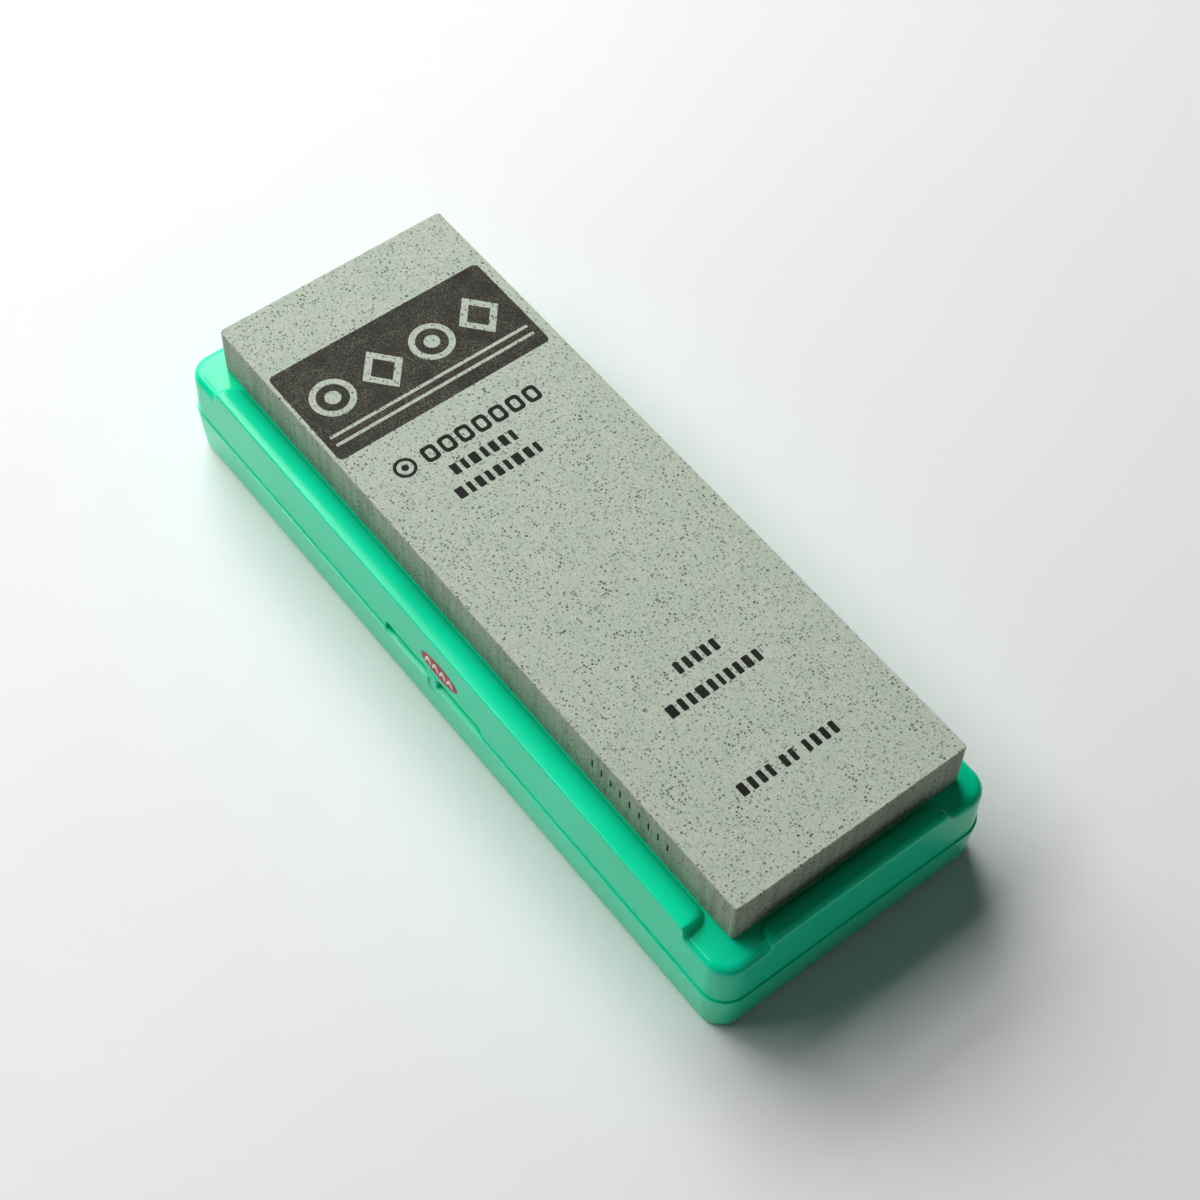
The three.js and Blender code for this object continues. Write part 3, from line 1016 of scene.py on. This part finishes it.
PLASTIC_DEEP = (0, 228, 172)
PLASTIC_PALE = (0, 236, 182)
STONE_GREEN = (186, 202, 184)
STONE_WARM = (198, 204, 190)
STONE_CLOUD = (184, 200, 172)
STONE_SIDE = (160, 174, 150)
STONE_GRAIN = (158, 166, 152)
STONE_SCORE = (118, 128, 108)
STONE_PALE = (226, 232, 218)
STONE_SPECK = (84, 92, 82)
LINE_INK = {"solid": (18, 19, 16), "worn": (92, 97, 86), "cover": (0.1, 0.4)}
PANEL_INK = {"solid": (36, 34, 29), "worn": (160, 158, 136), "cover": (0.15, 0.6)}
LABEL_DEEP = (170, 30, 44)
LABEL_PALE = (184, 46, 58)
ARROW_WHITE = (250, 244, 240)
ARROW_PINK = (240, 222, 218)
STEEL_DARK = (176, 178, 182)
STEEL_LIGHT = (206, 208, 210)
FLOOR_DARK = (238, 238, 238)
FLOOR_LIGHT = (243, 243, 243)


def linear(red, green, blue):
    """An sRGB colour as linear light."""
    def one(value):
        value /= 255
        return value / 12.92 if value <= 0.04045 else ((value + 0.055) / 1.055) ** 2.4
    return one(red), one(green), one(blue)


def green_plastic():
    """Moulded translucent plastic: faint flow clouds, fine scratches, soft gloss."""
    m = Nodes("green_plastic")
    clouds = m.remap(m.noise(28, 4), 0.35, 0.65)
    m.colour(m.tint(clouds, PLASTIC_DEEP, PLASTIC_PALE))
    scratches = m.remap(m.noise(900, 2, place=m.stretched(1, 9, 9)), 0.5, 0.75)
    smears = m.remap(m.noise(45, 3), 0.3, 0.7, 0.14, 0.22)
    m.roughness(m.math("ADD", smears, m.math("MULTIPLY", scratches, 0.08)))
    waves = m.bump(m.noise(30, 2), 0.0001, 0.5)
    m.normal(m.bump(m.noise(2500, 2), 0.000006, 0.4, after=waves))
    m.set(IOR=1.49, Specular_IOR_Level=0.3, Subsurface_Weight=0.35, Subsurface_Scale=0.0015)
    m.shader.inputs["Subsurface Radius"].default_value = (0.2, 1.0, 0.6)
    return m.material


# How far down the sides the painted highlight reaches, in millimetres
HIGHLIGHT_BAND_DEPTH = 1.1
GRAIN_BLUR = 0.04


def specks(m, place, scale, smallest, largest):
    """Irregular grains, one to a cell, each of its own size: 1 inside a grain and 0 outside."""
    cells = m.cells(scale, place)
    size = m.remap(m.split(cells.outputs["Color"], 0), 0, 1, smallest, largest)
    return m.remap(m.math("SUBTRACT", cells.outputs["Distance"], size), GRAIN_BLUR, -GRAIN_BLUR)


def clouded_body(m):
    """The ceramic's own colour, with cloudy water marks."""
    body = m.tint(m.remap(m.noise(150, 4, 0.6), 0.36, 0.64), STONE_GREEN, STONE_WARM)
    return m.layer(body, m.remap(m.noise(14, 4, 0.6), 0.42, 0.66), 0.3, STONE_CLOUD)


def painted_top_highlight(m, grain, sides):
    """Painted highlight: the uppermost part of the sides drawn paler, broken up by the grain."""
    foot = (STONE_HIGH.z - HIGHLIGHT_BAND_DEPTH) * MM
    height = m.remap(m.split(m.place, 2), foot, STONE_HIGH.z * MM)
    return m.math("MULTIPLY", m.math("MULTIPLY", height, grain), sides)


def ceramic_grit():
    """Green-grey ceramic with dark grains, cloudy water marks and sawn, stained sides."""
    m = Nodes("ceramic_grit")
    sides = m.remap(m.math("ABSOLUTE", m.split(m.normal_of_face(), 2), 0), 0.8, 0.5)
    grain = m.remap(m.noise(1300, 4, 0.8), 0.36, 0.64)
    sawn = m.remap(m.noise(700, 2, 0.6, place=m.stretched(1, 1, 0.04)), 0.4, 0.66)
    place = m.offset(m.noise(2200, 2, output="Color"), 0.0005)
    # Pale light specks, and the painted highlight along the top of the sides
    pale = m.math("MAXIMUM", specks(m, place, 1500, 0.02, 0.2), painted_top_highlight(m, grain, sides))
    fine = specks(m, place, 1700, 0.02, 0.36)
    coarse = specks(m, place, 1150, 0.02, 0.42)
    patches = m.remap(m.noise(160, 3), 0.35, 0.65, 0.5, 1.0)
    body = m.layer(clouded_body(m), sides, 0.6, STONE_SIDE)
    body = m.layer(body, grain, 0.55, STONE_GRAIN)
    body = m.layer(body, m.math("MULTIPLY", sawn, sides), 0.45, STONE_SCORE)
    body = m.layer(body, pale, 0.5, STONE_PALE)
    body = m.layer(body, fine, 0.5, STONE_SPECK)
    m.colour(m.layer(body, coarse, patches, STONE_SPECK))
    m.roughness(m.remap(grain, 0, 1, 0.72, 0.9))
    pits = m.math("MAXIMUM", coarse, fine)
    height = m.math("SUBTRACT", m.math("MULTIPLY", grain, 0.5), pits)
    height = m.math("ADD", height, m.math("MULTIPLY", sides, sawn))
    m.normal(m.bump(height, 0.00004, 0.7))
    return m.material


def black_ink(name, solid, worn, cover):
    """Ink on a rough stone, thinned where the grains stand proud."""
    m = Nodes(name)
    wear = m.remap(m.noise(2400, 3, 0.7), 0.45, 0.7)
    patches = m.remap(m.noise(120, 3), 0.3, 0.7, *cover)
    m.colour(m.tint(m.math("MULTIPLY", wear, patches), solid, worn))
    m.roughness(m.remap(wear, 0, 1, 0.6, 0.85))
    m.normal(m.bump(wear, 0.00002, 0.6))
    m.set(Specular_IOR_Level=0.15)
    return m.material


def label_red():
    """Red label film with a fine, slightly uneven print."""
    m = Nodes("label_red")
    tint = m.remap(m.noise(300, 3), 0.35, 0.65)
    m.colour(m.tint(tint, LABEL_DEEP, LABEL_PALE))
    m.roughness(m.remap(m.noise(900, 2), 0.3, 0.7, 0.32, 0.46))
    m.normal(m.bump(m.noise(1200, 2), 0.00001, 0.5))
    m.set(Specular_IOR_Level=0.3)
    return m.material


def label_white():
    """White ink with a little of the red showing through."""
    m = Nodes("label_white")
    tint = m.remap(m.noise(500, 3), 0.35, 0.7)
    m.colour(m.tint(tint, ARROW_WHITE, ARROW_PINK))
    m.roughness(m.remap(tint, 0, 1, 0.4, 0.55))
    return m.material


def pin_steel():
    """Drawn steel wire."""
    m = Nodes("pin_steel")
    turned = m.remap(m.noise(3000, 2, place=m.stretched(3, 0.3, 0.3)), 0.3, 0.7)
    m.colour(m.tint(turned, STEEL_DARK, STEEL_LIGHT))
    m.roughness(m.remap(turned, 0, 1, 0.22, 0.38))
    m.normal(m.bump(turned, 0.000006, 0.6))
    m.set(Metallic=1.0)
    return m.material


# Stage

FLOOR_HALF = 3000
FLOOR_DROP = 0.05
FLOOR_CELLS = 4
WORLD_STRENGTH = 0.02

# Each light's azimuth and elevation in degrees, its width and height in metres, and its power

LIGHT_DISTANCE = 1.6
LIGHTS = {
    "window": (178, 40, (1.55, 0.5), 18.8),
    "window_low": (185, 22, (1.2, 0.5), 4.6),
    "window_high": (182, 60, (1.2, 0.5), 6.2),
    "window_side": (150, 48, (0.5, 0.3), 2.2),
    "fill": (0, 45, (1.2, 0.8), 0.95),
    "edge": (228, 50, (0.8, 0.22), 5.4),
}


def direction(azimuth, elevation):
    """A unit vector, from angles in degrees. Azimuth is from +X towards +Y."""
    az, el = math.radians(azimuth), math.radians(elevation)
    return Vector((math.cos(el) * math.cos(az), math.cos(el) * math.sin(az), math.sin(el)))


def pale_floor():
    m = Nodes("pale_floor")
    m.colour(m.tint(m.remap(m.noise(3, 2), 0.3, 0.7), FLOOR_DARK, FLOOR_LIGHT))
    m.roughness(m.remap(m.noise(40, 2), 0.3, 0.7, 0.7, 0.8))
    bm = bmesh.new()
    bmesh.ops.create_grid(bm, x_segments=FLOOR_CELLS, y_segments=FLOOR_CELLS, size=FLOOR_HALF)
    floor = from_bmesh("floor", bm)
    floor.data.transform(Matrix.Scale(MM, 4) @ Matrix.Translation((0, 0, -FLOOR_DROP)))
    floor.data.materials.append(m.material)


def soft_light(name, azimuth, elevation, size, power):
    """A soft box that faces the seat."""
    lamp = bpy.data.lights.new(name, "AREA")
    lamp.shape = "RECTANGLE"
    lamp.size, lamp.size_y = size
    lamp.energy = power
    light = bpy.data.objects.new(name, lamp)
    away = direction(azimuth, elevation)
    light.location = Vector((0, 0, LID_TOP * MM)) + away * LIGHT_DISTANCE
    light.rotation_euler = away.to_track_quat("Z", "Y").to_euler()
    bpy.context.scene.collection.objects.link(light)


def studio():
    scene = bpy.context.scene
    scene.view_settings.view_transform = "Standard"
    world = bpy.data.worlds.new("studio")
    world.use_nodes = True
    background = world.node_tree.nodes["Background"]
    background.inputs["Color"].default_value = (1, 1, 1, 1)
    background.inputs["Strength"].default_value = WORLD_STRENGTH
    scene.world = world
    for name, (azimuth, elevation, size, power) in LIGHTS.items():
        soft_light(name, azimuth, elevation, size, power)


# The photo's camera, fitted to the corners of the stone: angles in degrees, distance and aim in
# metres, lens and sensor in millimetres

VIEW_AZIMUTH = -39.81
VIEW_ELEVATION = 55.99
VIEW_DISTANCE = 0.588392
VIEW_ROLL = 2.244
VIEW_LENS = 71.04
VIEW_SENSOR = 36
VIEW_NEAR = 0.01
VIEW_AIM = Vector((0.013454, 0.000045, LID_TOP * MM))


def camera():
    data = bpy.data.cameras.new("camera")
    data.lens = VIEW_LENS
    data.sensor_width = VIEW_SENSOR
    data.clip_start = VIEW_NEAR
    view = bpy.data.objects.new("camera", data)
    away = direction(VIEW_AZIMUTH, VIEW_ELEVATION)
    look = away.to_track_quat("Z", "Y").to_matrix()
    turn = Matrix.Rotation(math.radians(VIEW_ROLL), 3, "Z")
    view.matrix_world = Matrix.Translation(VIEW_AIM + away * VIEW_DISTANCE) @ (look @ turn).to_4x4()
    bpy.context.scene.collection.objects.link(view)
    bpy.context.scene.camera = view


# Assembly


def add_piece(piece, body, material, replaces=()):
    """Gives a piece its material and its body, and hides the CAD nodes that it stands for."""
    piece.data.materials.clear()
    piece.data.materials.append(material)
    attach(piece, body)
    if replaces:
        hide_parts(*replaces)


camera()
studio()
pale_floor()

plastic = green_plastic()
grit = ceramic_grit()
line_ink = black_ink("line_ink", **LINE_INK)
panel_ink = black_ink("panel_ink", **PANEL_INK)
steel = pin_steel()

add_piece(case_base(), "base", plastic, ["case_base"])
add_piece(case_lid(), "lid", plastic, ["case_lid"])
add_piece(whetstone(), "stone", grit, ["whetstone"])
left_pin = hinge_pin("hinge_pin_rod_left", -HINGE_X)
add_piece(left_pin, "base", steel, ["hinge_pin_left"])
right_pin = hinge_pin("hinge_pin_rod_right", HINGE_X)
add_piece(right_pin, "base", steel, ["hinge_pin_right"])
panel_print, line_print, side_print = stone_prints()
add_piece(panel_print, "stone", panel_ink)
add_piece(line_print, "stone", line_ink)
add_piece(side_print, "stone", line_ink)
oval, arrows = open_label()
add_piece(oval, "lid", label_red(), ["open_label"])
add_piece(arrows, "lid", label_white())
